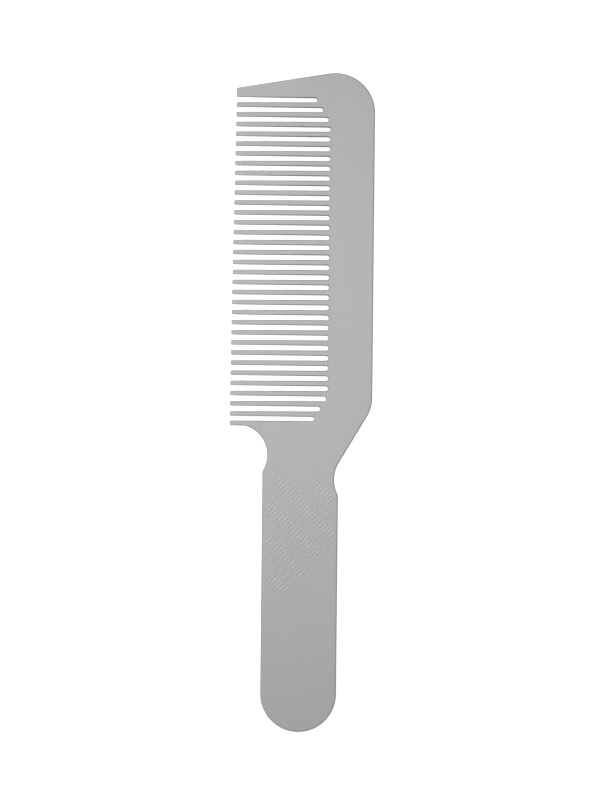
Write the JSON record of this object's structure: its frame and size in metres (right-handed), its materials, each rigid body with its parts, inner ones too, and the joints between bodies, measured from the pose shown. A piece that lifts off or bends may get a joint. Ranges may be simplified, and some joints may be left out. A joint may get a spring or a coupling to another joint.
{
  "type": "barber comb",
  "caption": "Flat barber comb with a straight handle, long fine teeth along one side, a slanted guard tooth at the crown, and a raised grip pattern on the handle.",
  "frame": {"origin": "middle of the bottom of the bounding box: the comb lies on its back face at Z = 0", "axes": "+X from the tooth tips to the back edge, +Y from the end of the handle to the crown, +Z out of the face that carries the grip relief"},
  "size_m": [0.0486, 0.225, 0.0039],
  "materials": {
    "comb_plastic": "light grey satin, finely grained as moulded"
  },
  "bodies": {
    "root": {"handle": "comb_plastic", "neck": "comb_plastic", "spine": "comb_plastic", "guard_tooth": "comb_plastic", "tooth_01": "comb_plastic", "tooth_02": "comb_plastic", "tooth_03": "comb_plastic", "tooth_04": "comb_plastic", "tooth_05": "comb_plastic", "tooth_06": "comb_plastic", "tooth_07": "comb_plastic", "tooth_08": "comb_plastic", "tooth_09": "comb_plastic", "tooth_10": "comb_plastic", "tooth_11": "comb_plastic", "tooth_12": "comb_plastic", "tooth_13": "comb_plastic", "tooth_14": "comb_plastic", "tooth_15": "comb_plastic", "tooth_16": "comb_plastic", "tooth_17": "comb_plastic", "tooth_18": "comb_plastic", "tooth_19": "comb_plastic", "tooth_20": "comb_plastic", "tooth_21": "comb_plastic", "tooth_22": "comb_plastic", "tooth_23": "comb_plastic", "tooth_24": "comb_plastic", "tooth_25": "comb_plastic", "tooth_26": "comb_plastic", "tooth_27": "comb_plastic", "tooth_28": "comb_plastic", "tooth_29": "comb_plastic", "tooth_30": "comb_plastic", "tooth_31": "comb_plastic", "tooth_32": "comb_plastic", "heel_tooth": "comb_plastic"}
  },
  "joints": []
}
